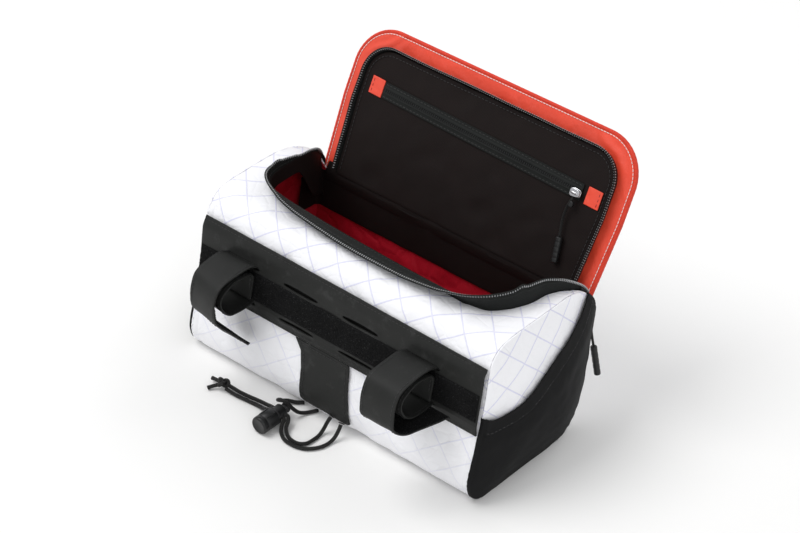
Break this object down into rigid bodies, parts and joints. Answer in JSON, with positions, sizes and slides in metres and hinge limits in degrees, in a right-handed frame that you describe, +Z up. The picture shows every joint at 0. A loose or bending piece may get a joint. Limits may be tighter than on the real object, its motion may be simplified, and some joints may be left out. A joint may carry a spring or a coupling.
{
  "type": "handlebar bag",
  "caption": "Soft box-shaped bicycle handlebar bag with its zipped lid thrown open, side stretch pockets, looped hook-and-loop straps and a shock cord with a cord lock.",
  "frame": {"origin": "on the floor under the middle of the bag, taken without the cords", "axes": "+X along the bag to its right end as seen from the strap side, +Y to the hinged front, +Z up"},
  "size_m": [0.3114, 0.2483, 0.208],
  "materials": {
    "white_cloth": "laminated cloth with a diamond grid of yarns",
    "red_lining": "thin woven lining",
    "orange_lining": "thin woven lining",
    "black_tape": "woven zip tape",
    "black_panel": "smooth coated cloth",
    "loop_pile": "loop pile",
    "strap": "strap with pile inside",
    "stretch_cloth": "stretch knit",
    "pocket_mesh": "fine mesh",
    "slider_metal": "bright plated",
    "cord": "braided",
    "black_plastic": "moulded"
  },
  "bodies": {
    "root": {"body_wrap": "white_cloth", "end_left": "white_cloth", "end_right": "white_cloth", "lining": "red_lining", "opening_zip_tape": "black_tape", "hinge_band": "black_tape", "handlebar_panel": "black_panel", "loop_strip": "loop_pile", "strap_left": "strap", "strap_right": "strap", "tongue": "black_panel", "side_pocket_left": "stretch_cloth", "side_pocket_right": "stretch_cloth", "lid_shell": "white_cloth", "lid_lining": "orange_lining", "lid_zip_tape": "black_tape", "lid_pocket": "pocket_mesh", "pocket_zip": "black_tape", "tab_left": "orange_lining", "tab_right": "orange_lining", "pocket_slider": "slider_metal", "pocket_pull_cord": "cord", "pocket_pull_grip": "black_plastic", "main_slider": "slider_metal", "main_pull_cord": "cord", "main_pull_grip": "black_plastic", "cord_lock": "black_plastic", "cord_lock_button": "black_plastic", "cord_knot": "cord", "lace_inner": "cord", "lace_outer": "cord", "toggle_loop": "cord", "cord_tail_upper": "cord", "cord_tail_lower": "cord"}
  },
  "joints": []
}
